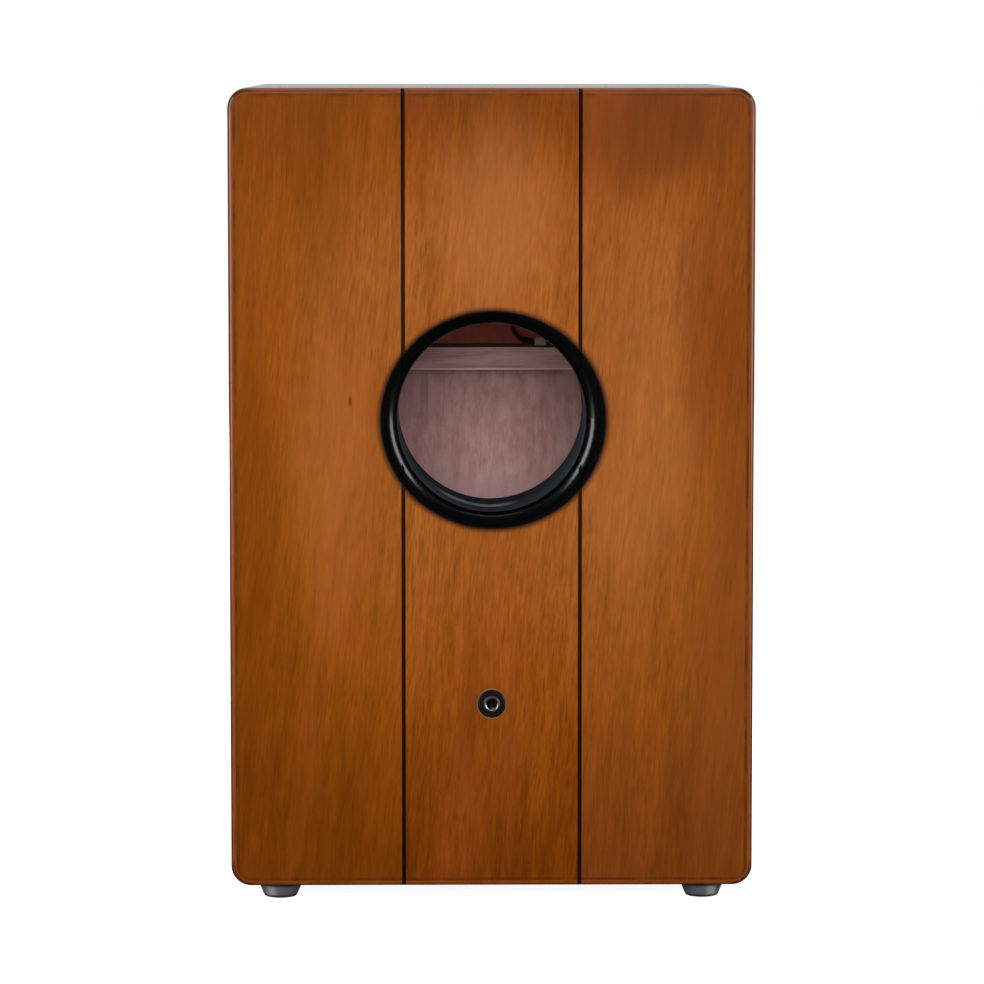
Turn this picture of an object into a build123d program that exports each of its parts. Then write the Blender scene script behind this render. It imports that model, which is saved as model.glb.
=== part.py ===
"""Cajon: a box drum with a flared rear sound port, two fans of snare wires on a crossbar and a contact pickup.

Frame: +Z up, origin on the floor under the middle of the box. The rear panel with the port faces -Y, and the
tapa, the thin board that is played, faces +Y.
"""

import os
from math import cos, radians, sin, tan

from build123d import *

# ---- Box, in millimetres ----
WIDTH = 300.0
DEPTH = 300.0
BODY_HEIGHT = 458.0
FOOT_HEIGHT = 10.5
WALL = 12.0
REAR_THICKNESS = 12.0
TAPA_THICKNESS = 3.0
CORNER_R = 11.5
REAR_EDGE_R = 3.0
TAPA_EDGE_R = 1.2
CLEARANCE = 0.1  # between a piece and the hole or seat that it goes into

REAR_FACE = -DEPTH / 2
REAR_INNER = REAR_FACE + REAR_THICKNESS
FRONT_FACE = DEPTH / 2
TAPA_INNER = FRONT_FACE - TAPA_THICKNESS
BODY_TOP = FOOT_HEIGHT + BODY_HEIGHT
BODY_MIDDLE = FOOT_HEIGHT + BODY_HEIGHT / 2
INNER_WIDTH = WIDTH - 2 * WALL
INNER_HEIGHT = BODY_HEIGHT - 2 * WALL
INNER_FLOOR = FOOT_HEIGHT + WALL
INNER_CEILING = BODY_TOP - WALL
INNER_SIDE = INNER_WIDTH / 2

# ---- Strips glued inside the box ----
LINER = 15.0  # square section, behind the tapa
GLUE_STRIP_LEG = 14.0  # triangular section, along each mitred corner
LINER_BACK = TAPA_INNER - LINER

# ---- Sound port ----
PORT_R = 54.0
PORT_BELOW_TOP = 188.0  # from the box's top to the port's centre
PORT_LIP_R = 8.0
TUBE_WALL = 3.0
TUBE_REACH = 85.0  # from the rear face to the tube's inner end
TUBE_SEAT = 3.0  # depth of the seat for the tube in the panel's inner face

# ---- Decorative grooves that mark the rear panel into three planks ----
GROOVE_X = 50.5
GROOVE_MOUTH = 2.2
GROOVE_FLOOR = 1.4
GROOVE_DEPTH = 1.5

# ---- Feet ----
FOOT_INSET = 27.5
FOOT_TOP_R = 13.8
FOOT_BOTTOM_R = 9.2
FOOT_EDGE_R = 1.6
FOOT_RECESS_R = 4.6
FOOT_RECESS_DEPTH = 8.0
WASHER_THICKNESS = 1.0
FOOT_SCREW_R = 1.9
FOOT_SCREW_HEAD_R = 3.6
FOOT_SCREW_BITE = 9.0

# ---- Tapa screws ----
TAPA_SCREW_INSET = 8.0
TAPA_SCREW_R = 1.5
TAPA_SCREW_HEAD_R = 3.4
TAPA_SCREW_HEAD = 2.0
TAPA_SCREW_LENGTH = 20.0
SIDE_SCREWS = 5
SIDE_SCREW_END_GAP = 32.0  # from the top and bottom of the box to the first screw
END_SCREWS = 3
END_SCREW_GAP = 62.0  # from the sides of the box to the first screw

# ---- Snare bar, brackets and wires ----
BAR_HEIGHT = 13.7
BAR_DEPTH = 34.0
BAR_BELOW_TOP = 163.3  # from the box's top to the bar's top, to leave room for the wires
BAR_TO_TAPA = 21.0
BLOCK_WIDTH = 16.0
BLOCK_HEIGHT = 28.0
BAR_SCREW_R = 1.6
BAR_SCREW_HEAD_R = 3.2
BAR_SCREW_LENGTH = 30.0
BRACKET_WIDTH = 46.0
BRACKET_X = 80.0  # middle of each bracket from the middle of the bar
BRACKET_FOOT = 12.0
BRACKET_RISE = 13.0
BRACKET_SHEET = 0.8
BRACKET_SCREW_R = 1.1
BRACKET_SCREW_HEAD_R = 2.2
BRACKET_SCREW_LENGTH = 9.0
BRACKET_SCREW_SPACING = 28.0
WIRE_LEAN = 8.0  # degrees from upright, towards the tapa
WIRE_COUNT = 10
WIRE_R = 0.95
WIRE_PITCH = 4.2
WIRE_LENGTH = 118.0
WIRE_SPLAY_FIRST = 1.5  # degrees outwards, on the wire nearest the middle of the box
WIRE_SPLAY_STEP = 0.85
WIRE_SOLDER_LENGTH = 8.0  # of each wire, lying on its bracket

# ---- Output jack ----
JACK_ABOVE_BOTTOM = 105.9  # from the box's bottom to the bore's axis
JACK_NUT_R = 8.0
JACK_NUT_PROUD = 2.0
JACK_SEAT_DEPTH = 0.6
JACK_SEAT_CHAMFER = 0.5
JACK_BARREL_R = 4.75
JACK_BORE_R = 3.25
JACK_RECESS_R = 13.2
JACK_RECESS_DEPTH = 5.0
LOCK_WASHER = 0.8
LOCK_WASHER_R = 7.6
FRAME_SHEET = 1.2
FRAME_SIDE = 18.0
FRAME_LEG_WIDTH = 10.0
FRAME_LEG_LENGTH = 15.0
JACK_STAKE_R = 6.0
JACK_STAKE = 1.0
INSULATOR = 1.0
INSULATOR_LENGTH = 7.0
INSULATOR_WIDTH = 8.0
LEAF = 0.4
LEAF_WIDTH = 5.0
LEAF_RUN = 10.0  # from its root to the bend that touches the plug's tip
LEAF_BEAK = 3.0
LEAF_GAP = 0.3
LEAF_BEND_DROP = 2.3  # of the bend, below the bore's axis
LEAF_BEAK_DROP = 4.2
LUG_WIDTH = 4.0
LUG_LENGTH = 6.0
RIVET_R = 1.2
RIVET_HEAD_R = 2.0
RIVET_HEAD = 0.5

# ---- Pickup on the tapa ----
PICKUP_X = 16.0
PICKUP_ABOVE_BAR = 42.0
DISC_R = 13.5
DISC_THICKNESS = 0.3
CERAMIC_R = 10.0
CERAMIC_THICKNESS = 0.25
PAD_R = 15.0
PAD_THICKNESS = 3.5
LEAD_R = 1.4
LEAD_STANDOFF = 0.2  # from the lead to the surface that it runs along
CLIP_LENGTH = 8.0
CLIP_WIDTH = 7.0
CLIP_HEIGHT = 4.6
CLIP_NAIL_R = 0.7
CLIP_NAIL_HEAD_R = 1.4
CLIP_NAIL_LENGTH = 11.0

HEAD_SLOT_DEPTH_SHARE = 0.6  # of a screw head's height
HEAD_SLOT_LENGTH_SHARE = 1.15  # of a screw head's radius
HEAD_SLOT_WIDTH = 0.9


def facing_rear(y):
    """A sketch plane at that Y whose normal points to the rear, with X to the right and Z up."""
    return Plane.XZ.offset(-y)


def wood_screw(shank_r, length, head_r, head_height):
    """A cross-slotted pan-head screw with its head's underside at the origin and its shank along -Z."""
    with BuildPart() as screw:
        with BuildSketch(Plane.XZ):
            with BuildLine():
                Polyline(
                    (0, head_height),
                    (head_r * 0.55, head_height),
                    (head_r, head_height * 0.4),
                    (head_r, 0),
                    (shank_r, 0),
                    (shank_r, -length + 2 * shank_r),
                    (0, -length),
                    close=True,
                )
            make_face()
        revolve(axis=Axis.Z)
        slot = head_r * HEAD_SLOT_LENGTH_SHARE
        deep = head_height * HEAD_SLOT_DEPTH_SHARE
        with Locations((0, 0, head_height)):
            Box(slot, HEAD_SLOT_WIDTH, 2 * deep, mode=Mode.SUBTRACT)
            Box(HEAD_SLOT_WIDTH, slot, 2 * deep, mode=Mode.SUBTRACT)
    return screw.part


def even_spread(low, high, count):
    """Count places from low to high, evenly spaced."""
    return [low + (high - low) * i / (count - 1) for i in range(count)]


def bend_radii(route):
    """Radius at each inner point of a route: as large as the shorter of its two runs allows."""
    points = [Vector(*p) for p in route]
    radii = []
    for before, here, after in zip(points, points[1:], points[2:]):
        run_in, run_out = here - before, after - here
        turn = radians(run_in.get_angle(run_out))
        radii.append(0.45 * min(run_in.length, run_out.length) / tan(turn / 2))
    return radii


# ---- Places shared by screws and the holes that they go into ----
side_screw_z = even_spread(FOOT_HEIGHT + SIDE_SCREW_END_GAP, BODY_TOP - SIDE_SCREW_END_GAP, SIDE_SCREWS)
end_screw_x = even_spread(-WIDTH / 2 + END_SCREW_GAP, WIDTH / 2 - END_SCREW_GAP, END_SCREWS)
side_screw_x = WIDTH / 2 - TAPA_SCREW_INSET
screw_places = {
    "left_panel": [(-side_screw_x, z) for z in side_screw_z],
    "right_panel": [(side_screw_x, z) for z in side_screw_z],
    "top_panel": [(x, BODY_TOP - TAPA_SCREW_INSET) for x in end_screw_x],
    "bottom_panel": [(x, FOOT_HEIGHT + TAPA_SCREW_INSET) for x in end_screw_x],
}
PORT_CENTRE_Z = BODY_TOP - PORT_BELOW_TOP
foot_x = WIDTH / 2 - FOOT_INSET
foot_y = DEPTH / 2 - FOOT_INSET
foot_places = {
    "rear_left": (-foot_x, -foot_y),
    "rear_right": (foot_x, -foot_y),
    "front_left": (-foot_x, foot_y),
    "front_right": (foot_x, foot_y),
}
# ---- Places along the jack's axis, from the outside in ----
JACK_Z = FOOT_HEIGHT + JACK_ABOVE_BOTTOM
nut_front_y = REAR_FACE - JACK_NUT_PROUD
recess_floor_y = REAR_INNER - JACK_RECESS_DEPTH
frame_rear_y = recess_floor_y + LOCK_WASHER
frame_inner_y = frame_rear_y + FRAME_SHEET
barrel_end_y = frame_inner_y + JACK_STAKE
leg_end_y = frame_inner_y + FRAME_LEG_LENGTH
leg_bottom_z = JACK_Z - FRAME_SIDE / 2
leg_top_z = leg_bottom_z + FRAME_SHEET
lug_z = leg_top_z - LUG_LENGTH + LEAD_R + 0.6

# ---- Places around the snare bar ----
BAR_FRONT = TAPA_INNER - BAR_TO_TAPA
BAR_BACK = BAR_FRONT - BAR_DEPTH
BAR_MIDDLE_Y = BAR_FRONT - BAR_DEPTH / 2
BAR_TOP_Z = BODY_TOP - BAR_BELOW_TOP
BAR_BOTTOM_Z = BAR_TOP_Z - BAR_HEIGHT
block_x = INNER_SIDE - BLOCK_WIDTH / 2
bracket_foot_y = BAR_FRONT - BRACKET_FOOT / 2 - 1
bracket_screw_x = [
    side * BRACKET_X + step * BRACKET_SCREW_SPACING / 2 for side in (-1, 1) for step in (-1, 1)
]

# ---- Route of the pickup lead: over the bar, down the right wall, across the floor, up to the jack ----
lead_height = LEAD_STANDOFF + LEAD_R  # of the lead's middle above the surface that it runs along
lead_tapa_y = TAPA_INNER - lead_height
lead_bar_z = BAR_TOP_Z + lead_height
lead_wall_x = INNER_SIDE - lead_height
lead_floor_z = INNER_FLOOR + lead_height
pickup_z = BAR_TOP_Z + PICKUP_ABOVE_BAR
pad_bottom_z = pickup_z - PAD_R
route_over_bar = [
    (PICKUP_X, lead_tapa_y, pad_bottom_z),
    (PICKUP_X, lead_tapa_y, pad_bottom_z - 10),
    (PICKUP_X + 1, lead_tapa_y - 6, lead_bar_z + 6.5),
    (PICKUP_X + 5, BAR_FRONT + 2, lead_bar_z + 1),
    (PICKUP_X + 12, BAR_FRONT - 6, lead_bar_z),
    (PICKUP_X + 25, BAR_FRONT - 14, lead_bar_z),
    (PICKUP_X + 44, BAR_FRONT - 20.5, lead_bar_z),
    (INNER_SIDE - 48, BAR_FRONT - 24.5, lead_bar_z),
    (INNER_SIDE - 28, BAR_FRONT - 27.5, lead_bar_z + 1),
    (INNER_SIDE - 16, BAR_BACK + 0.5, lead_bar_z + 2),
    (INNER_SIDE - 7, BAR_BACK - 9, lead_bar_z - 3),
    (INNER_SIDE - 3, BAR_BACK - 13.5, lead_bar_z - 14.5),
]
wall_top_z = BAR_TOP_Z - 29
wall_end_z = INNER_FLOOR + 52
route_down_wall = [
    (lead_wall_x, BAR_BACK - back, wall_end_z + (wall_top_z - wall_end_z) * share)
    for share, back in [(1, 15), (0.86, 15.6), (0.63, 17.6), (0.38, 21), (0.16, 25.5), (0, 31)]
]
corner_y = BAR_BACK - 38
floor_x = INNER_SIDE - 32
floor_start_y = corner_y - 16
floor_end_y = leg_end_y + 76
route_over_floor = [
    (INNER_SIDE - 5, corner_y, INNER_FLOOR + 30),
    (INNER_SIDE - 15, corner_y - 10, INNER_FLOOR + 11),
]
route_over_floor += [
    (floor_x * across, floor_end_y + (floor_start_y - floor_end_y) * along, lead_floor_z)
    for across, along in [(1, 1), (0.7, 0.84), (0.4, 0.59), (0.19, 0.27), (0.11, 0)]
]
route_up_to_jack = [
    (9.5, leg_end_y + 61, lead_floor_z + 9),
    (8, leg_end_y + 50, lug_z - 52),
    (5, leg_end_y + 46, lug_z - 30),
    (2, leg_end_y + 36, lug_z - 11),
    (0, leg_end_y + 18, lug_z),
    (0, leg_end_y, lug_z),
]
lead_route = route_over_bar + route_down_wall + route_over_floor + route_up_to_jack

# ---- Clips that hold the lead: the point of the route that each run starts at, and the surface's normal ----
first_wall_run = len(route_over_bar)
first_floor_run = first_wall_run + len(route_down_wall) + 2
CLIPPED_RUNS = {
    "snare_bar": ((0, 0, 1), [4, 6]),
    "right_panel": ((-1, 0, 0), [first_wall_run + 1, first_wall_run + 2, first_wall_run + 3]),
    "bottom_panel": ((0, 0, 1), [first_floor_run, first_floor_run + 1, first_floor_run + 2]),
}
clip_planes = {}
for name, (normal, runs) in CLIPPED_RUNS.items():
    clip_planes[name] = []
    for run in runs:
        start, end = Vector(*lead_route[run]), Vector(*lead_route[run + 1])
        under = (start + end) / 2 - Vector(*normal) * lead_height
        clip_planes[name].append(Plane(origin=under, x_dir=end - start, z_dir=normal))
nail_offset = LEAD_R + CLEARANCE + CLIP_NAIL_HEAD_R


def drill_nail_holes(planes):
    """Holes for the clips' nails, in the part being built."""
    for plane in planes:
        with Locations(plane):
            with Locations((0, nail_offset, 0)):
                Cylinder(
                    CLIP_NAIL_R + CLEARANCE / 2,
                    CLIP_NAIL_LENGTH - CLIP_HEIGHT + 1,
                    align=(Align.CENTER, Align.CENTER, Align.MAX),
                    mode=Mode.SUBTRACT,
                )


parts = {}


# ---- Rear panel: port with a rounded lip, two grooves, jack hole ----
with BuildPart() as rear_panel:
    with BuildSketch(facing_rear(REAR_INNER)):
        with Locations((0, BODY_MIDDLE)):
            RectangleRounded(WIDTH, BODY_HEIGHT, CORNER_R)
    extrude(amount=REAR_THICKNESS)
    fillet(rear_panel.faces().sort_by(Axis.Y)[0].edges(), REAR_EDGE_R)
    with BuildSketch(facing_rear(REAR_INNER)):
        with Locations((0, PORT_CENTRE_Z)):
            Circle(PORT_R)
    extrude(amount=REAR_THICKNESS, mode=Mode.SUBTRACT)
    lip_edge = rear_panel.faces().sort_by(Axis.Y)[0].edges().filter_by(GeomType.CIRCLE).sort_by(SortBy.RADIUS)[-1]
    fillet(lip_edge, min(PORT_LIP_R, REAR_THICKNESS - TUBE_SEAT - 0.5))
    with BuildSketch(facing_rear(REAR_INNER)):
        with Locations((0, PORT_CENTRE_Z)):
            Circle(PORT_R + TUBE_WALL + CLEARANCE)
    extrude(amount=TUBE_SEAT, mode=Mode.SUBTRACT)
    for side in (-1, 1):
        with BuildSketch(Plane.XY.offset(FOOT_HEIGHT)):
            Polygon(
                (side * GROOVE_X - GROOVE_MOUTH / 2, REAR_FACE),
                (side * GROOVE_X + GROOVE_MOUTH / 2, REAR_FACE),
                (side * GROOVE_X + GROOVE_FLOOR / 2, REAR_FACE + GROOVE_DEPTH),
                (side * GROOVE_X - GROOVE_FLOOR / 2, REAR_FACE + GROOVE_DEPTH),
                align=None,
            )
        extrude(amount=BODY_HEIGHT, mode=Mode.SUBTRACT)
    with BuildSketch(facing_rear(REAR_INNER)):
        with Locations((0, JACK_Z)):
            Circle(JACK_BARREL_R + CLEARANCE)
    extrude(amount=REAR_THICKNESS, mode=Mode.SUBTRACT)
    with BuildSketch(facing_rear(REAR_INNER)):
        with Locations((0, JACK_Z)):
            Circle(JACK_RECESS_R)
    extrude(amount=JACK_RECESS_DEPTH, mode=Mode.SUBTRACT)
    with BuildSketch(Plane(origin=(0, REAR_FACE, JACK_Z), x_dir=(1, 0, 0), z_dir=(0, 0, 1))):
        seat_r = JACK_NUT_R + JACK_SEAT_CHAMFER
        Polygon(
            (0, 0),
            (seat_r + JACK_SEAT_CHAMFER, 0),
            (seat_r, JACK_SEAT_CHAMFER),
            (seat_r, JACK_SEAT_DEPTH),
            (0, JACK_SEAT_DEPTH),
            align=None,
        )
    revolve(axis=Axis((0, 0, JACK_Z), (0, 1, 0)), mode=Mode.SUBTRACT)
parts["rear_panel"] = rear_panel

# ---- Port tube, glued into its seat in the rear panel ----
TUBE_FRONT = REAR_INNER - TUBE_SEAT
TUBE_END = REAR_FACE + TUBE_REACH
with BuildPart() as port_tube:
    with BuildSketch(facing_rear(TUBE_END)):
        with Locations((0, PORT_CENTRE_Z)):
            Circle(PORT_R + TUBE_WALL)
            Circle(PORT_R, mode=Mode.SUBTRACT)
    extrude(amount=TUBE_END - TUBE_FRONT)
    fillet(port_tube.faces().sort_by(Axis.Y)[-1].edges(), TUBE_WALL * 0.3)
parts["port_tube"] = port_tube

# ---- Four walls, mitred at the corners and drilled for the tapa and foot screws ----
half_width, top_z, bottom_z = WIDTH / 2, BODY_TOP, FOOT_HEIGHT
mitre_wedges = {
    "top_panel": [
        (-half_width, top_z),
        (half_width, top_z),
        (INNER_SIDE, INNER_CEILING),
        (-INNER_SIDE, INNER_CEILING),
    ],
    "bottom_panel": [
        (-half_width, bottom_z),
        (half_width, bottom_z),
        (INNER_SIDE, INNER_FLOOR),
        (-INNER_SIDE, INNER_FLOOR),
    ],
    "left_panel": [
        (-half_width, bottom_z),
        (-half_width, top_z),
        (-INNER_SIDE, INNER_CEILING),
        (-INNER_SIDE, INNER_FLOOR),
    ],
    "right_panel": [
        (half_width, bottom_z),
        (half_width, top_z),
        (INNER_SIDE, INNER_CEILING),
        (INNER_SIDE, INNER_FLOOR),
    ],
}
for name, wedge in mitre_wedges.items():
    with BuildPart() as wall:
        with BuildSketch(facing_rear(TAPA_INNER)):
            with Locations((0, BODY_MIDDLE)):
                RectangleRounded(WIDTH, BODY_HEIGHT, CORNER_R)
            Polygon(*wedge, align=None, mode=Mode.INTERSECT)
        extrude(amount=TAPA_INNER - REAR_INNER)
        with BuildSketch(facing_rear(TAPA_INNER)):
            with Locations(*screw_places[name]):
                Circle(TAPA_SCREW_R + CLEARANCE)
        extrude(amount=TAPA_SCREW_LENGTH, mode=Mode.SUBTRACT)
        if name == "bottom_panel":
            with BuildSketch(Plane.XY.offset(FOOT_HEIGHT)):
                with Locations(*foot_places.values()):
                    Circle(FOOT_SCREW_R + CLEARANCE)
            extrude(amount=FOOT_SCREW_BITE + 1, mode=Mode.SUBTRACT)
        drill_nail_holes(clip_planes.get(name, []))
    parts[name] = wall

# ---- Tapa, screwed to the front edges of the walls ----
with BuildPart() as tapa:
    with BuildSketch(facing_rear(FRONT_FACE)):
        with Locations((0, BODY_MIDDLE)):
            RectangleRounded(WIDTH, BODY_HEIGHT, CORNER_R)
    extrude(amount=TAPA_THICKNESS)
    fillet(tapa.faces().sort_by(Axis.Y)[-1].edges(), TAPA_EDGE_R)
    with BuildSketch(facing_rear(FRONT_FACE)):
        for places in screw_places.values():
            with Locations(*places):
                Circle(TAPA_SCREW_R + CLEARANCE)
    extrude(amount=TAPA_THICKNESS, mode=Mode.SUBTRACT)
parts["tapa"] = tapa

tapa_screw = wood_screw(TAPA_SCREW_R, TAPA_SCREW_LENGTH, TAPA_SCREW_HEAD_R, TAPA_SCREW_HEAD)
with BuildPart() as tapa_screws:
    for places in screw_places.values():
        for x, z in places:
            with Locations(Plane(origin=(x, FRONT_FACE, z), x_dir=(1, 0, 0), z_dir=(0, 1, 0))):
                add(tapa_screw)
parts["tapa_screws"] = tapa_screws

# ---- Square liners behind the tapa ----
liner_z_middle = {"liner_top": INNER_CEILING - LINER / 2, "liner_bottom": INNER_FLOOR + LINER / 2}
for name, z in liner_z_middle.items():
    with BuildPart() as liner:
        with BuildSketch(facing_rear(TAPA_INNER)):
            with Locations((0, z)):
                Rectangle(INNER_WIDTH, LINER)
        extrude(amount=LINER)
    parts[name] = liner
for name, side in {"liner_left": -1, "liner_right": 1}.items():
    with BuildPart() as liner:
        with BuildSketch(facing_rear(TAPA_INNER)):
            with Locations((side * (INNER_SIDE - LINER / 2), BODY_MIDDLE)):
                Rectangle(LINER, INNER_HEIGHT - 2 * LINER)
        extrude(amount=LINER)
    parts[name] = liner

# ---- Triangular glue strips along the four mitred corners ----
corner_signs = {
    "top_left": (-1, 1),
    "top_right": (1, 1),
    "bottom_left": (-1, -1),
    "bottom_right": (1, -1),
}
for corner, (side, up) in corner_signs.items():
    corner_x = side * INNER_SIDE
    corner_z = INNER_CEILING if up > 0 else INNER_FLOOR
    with BuildPart() as strip:
        with BuildSketch(facing_rear(LINER_BACK)):
            Polygon(
                (corner_x, corner_z),
                (corner_x - side * GLUE_STRIP_LEG, corner_z),
                (corner_x, corner_z - up * GLUE_STRIP_LEG),
                align=None,
            )
        extrude(amount=LINER_BACK - REAR_INNER)
    parts["glue_strip_" + corner] = strip

# ---- Feet: conical rubber, each with a washer and a screw up into the bottom panel ----
washer_seat_z = FOOT_RECESS_DEPTH
for corner, (x, y) in foot_places.items():
    with BuildPart() as foot:
        with BuildSketch(Plane(origin=(x, y, 0), x_dir=(1, 0, 0), z_dir=(0, -1, 0))):
            with BuildLine():
                Polyline(
                    (FOOT_SCREW_R + CLEARANCE, FOOT_HEIGHT),
                    (FOOT_TOP_R, FOOT_HEIGHT),
                    (FOOT_BOTTOM_R, 0),
                    (FOOT_RECESS_R, 0),
                    (FOOT_RECESS_R, washer_seat_z),
                    (FOOT_SCREW_R + CLEARANCE, washer_seat_z),
                    close=True,
                )
            make_face()
            bottom_corner = vertices().group_by(Axis.Y)[0].sort_by(Axis.X)[-1]
            fillet(bottom_corner, FOOT_EDGE_R)
        revolve(axis=Axis((x, y, 0), (0, 0, 1)))
    parts["foot_" + corner] = foot

with BuildPart() as foot_washers:
    with BuildSketch(Plane.XY.offset(washer_seat_z)):
        with Locations(*foot_places.values()):
            Circle(FOOT_RECESS_R - CLEARANCE)
            Circle(FOOT_SCREW_R + CLEARANCE, mode=Mode.SUBTRACT)
    extrude(amount=-WASHER_THICKNESS)
parts["foot_washers"] = foot_washers

foot_screw_head_z = washer_seat_z - WASHER_THICKNESS
foot_screw_length = FOOT_HEIGHT - foot_screw_head_z + FOOT_SCREW_BITE
foot_screw = wood_screw(FOOT_SCREW_R, foot_screw_length, FOOT_SCREW_HEAD_R, 2.2)
with BuildPart() as foot_screws:
    for x, y in foot_places.values():
        with Locations(Plane(origin=(x, y, foot_screw_head_z), x_dir=(1, 0, 0), z_dir=(0, 0, -1))):
            add(foot_screw)
parts["foot_screws"] = foot_screws

# ---- Snare bar on two end blocks ----
with BuildPart() as snare_bar:
    with BuildSketch(Plane.XY.offset(BAR_BOTTOM_Z)):
        with Locations((0, BAR_MIDDLE_Y)):
            Rectangle(INNER_WIDTH - 2 * CLEARANCE, BAR_DEPTH)
    extrude(amount=BAR_HEIGHT)
    with BuildSketch(Plane.XY.offset(BAR_BOTTOM_Z)):
        with Locations((-block_x, BAR_MIDDLE_Y), (block_x, BAR_MIDDLE_Y)):
            Circle(BAR_SCREW_R + CLEARANCE)
    extrude(amount=BAR_HEIGHT, mode=Mode.SUBTRACT)
    with BuildSketch(Plane.XY.offset(BAR_TOP_Z)):
        with Locations(*[(x, bracket_foot_y) for x in bracket_screw_x]):
            Circle(BRACKET_SCREW_R + CLEARANCE)
    extrude(amount=-BRACKET_SCREW_LENGTH, mode=Mode.SUBTRACT)
    drill_nail_holes(clip_planes["snare_bar"])
parts["snare_bar"] = snare_bar

for name, side in {"bar_block_left": -1, "bar_block_right": 1}.items():
    with BuildPart() as block:
        with BuildSketch(Plane.XY.offset(BAR_BOTTOM_Z)):
            with Locations((side * block_x, BAR_MIDDLE_Y)):
                Rectangle(BLOCK_WIDTH, BAR_DEPTH)
                Circle(BAR_SCREW_R + CLEARANCE, mode=Mode.SUBTRACT)
        extrude(amount=-BLOCK_HEIGHT)
    parts[name] = block

bar_screw = wood_screw(BAR_SCREW_R, BAR_SCREW_LENGTH, BAR_SCREW_HEAD_R, 2.0)
with BuildPart() as bar_screws:
    with Locations((-block_x, BAR_MIDDLE_Y, BAR_TOP_Z), (block_x, BAR_MIDDLE_Y, BAR_TOP_Z)):
        add(bar_screw)
parts["bar_screws"] = bar_screws

# ---- Snare brackets: sheet bent up along the bar's front edge, leaning towards the tapa ----
lean = radians(WIRE_LEAN)
rise_y, rise_z = sin(lean), cos(lean)
bend_y = BAR_FRONT - 1
for name, side in {"snare_bracket_left": -1, "snare_bracket_right": 1}.items():
    with BuildPart() as bracket:
        start_x = side * BRACKET_X - BRACKET_WIDTH / 2
        with BuildSketch(Plane(origin=(start_x, 0, 0), x_dir=(0, 1, 0), z_dir=(1, 0, 0))):
            Polygon(
                (bend_y - BRACKET_FOOT, BAR_TOP_Z),
                (bend_y, BAR_TOP_Z),
                (bend_y + BRACKET_RISE * rise_y, BAR_TOP_Z + BRACKET_RISE * rise_z),
                (bend_y + BRACKET_RISE * rise_y - BRACKET_SHEET, BAR_TOP_Z + BRACKET_RISE * rise_z),
                (bend_y + BRACKET_SHEET * (rise_y - 1), BAR_TOP_Z + BRACKET_SHEET),
                (bend_y - BRACKET_FOOT, BAR_TOP_Z + BRACKET_SHEET),
                align=None,
            )
        extrude(amount=BRACKET_WIDTH)
        with BuildSketch(Plane.XY.offset(BAR_TOP_Z)):
            with Locations(*[(x, bracket_foot_y) for x in bracket_screw_x if x * side > 0]):
                Circle(BRACKET_SCREW_R + CLEARANCE)
        extrude(amount=BRACKET_SHEET, mode=Mode.SUBTRACT)
    parts[name] = bracket

bracket_screw = wood_screw(BRACKET_SCREW_R, BRACKET_SCREW_LENGTH, BRACKET_SCREW_HEAD_R, 1.4)
with BuildPart() as bracket_screws:
    for x in bracket_screw_x:
        with Locations((x, bracket_foot_y, BAR_TOP_Z + BRACKET_SHEET)):
            add(bracket_screw)
parts["bracket_screws"] = bracket_screws

# ---- Snare wires: soldered along the bracket's front, splayed outwards, tips just off the tapa ----
wire_base_along = BRACKET_RISE - WIRE_SOLDER_LENGTH
wire_base_y = bend_y + wire_base_along * rise_y + (WIRE_R + CLEARANCE) / rise_z
wire_base_z = BAR_TOP_Z + wire_base_along * rise_z
for name, side in {"snare_wires_left": -1, "snare_wires_right": 1}.items():
    with BuildPart() as wires:
        for i in range(WIRE_COUNT):
            splay = radians(WIRE_SPLAY_FIRST + WIRE_SPLAY_STEP * i)
            x = side * (BRACKET_X + (i - (WIRE_COUNT - 1) / 2) * WIRE_PITCH)
            along = (side * sin(splay), cos(splay) * rise_y, cos(splay) * rise_z)
            with Locations(Plane(origin=(x, wire_base_y, wire_base_z), z_dir=along)):
                Cylinder(WIRE_R, WIRE_LENGTH, align=(Align.CENTER, Align.CENTER, Align.MIN))
    parts[name] = wires

# ---- Pickup: brass disc with a ceramic layer on the tapa's inner face, under a foam pad ----
with BuildPart() as pickup_disc:
    with BuildSketch(facing_rear(TAPA_INNER)):
        with Locations((PICKUP_X, pickup_z)):
            Circle(DISC_R)
    extrude(amount=DISC_THICKNESS)
parts["pickup_disc"] = pickup_disc

ceramic_front = TAPA_INNER - DISC_THICKNESS
with BuildPart() as pickup_ceramic:
    with BuildSketch(facing_rear(ceramic_front)):
        with Locations((PICKUP_X, pickup_z)):
            Circle(CERAMIC_R)
    extrude(amount=CERAMIC_THICKNESS)
parts["pickup_ceramic"] = pickup_ceramic

with BuildPart() as pickup_pad:
    with BuildSketch(facing_rear(TAPA_INNER)):
        with Locations((PICKUP_X, pickup_z)):
            Circle(PAD_R)
    extrude(amount=PAD_THICKNESS)
    for front, radius, thickness in (
        (TAPA_INNER, DISC_R, DISC_THICKNESS),
        (ceramic_front, CERAMIC_R, CERAMIC_THICKNESS),
    ):
        with BuildSketch(facing_rear(front)):
            with Locations((PICKUP_X, pickup_z)):
                Circle(radius)
        extrude(amount=thickness, mode=Mode.SUBTRACT)
parts["pickup_pad"] = pickup_pad

# ---- Jack ----
def jack_turning(points):
    """Revolves an outline of (distance from the bore's axis, Y) about the jack's axis."""
    with BuildPart() as turned:
        with BuildSketch(Plane(origin=(0, 0, JACK_Z), x_dir=(1, 0, 0), z_dir=(0, 0, 1))):
            Polygon(*points, align=None)
        revolve(axis=Axis((0, 0, JACK_Z), (0, 1, 0)))
    return turned


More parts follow.
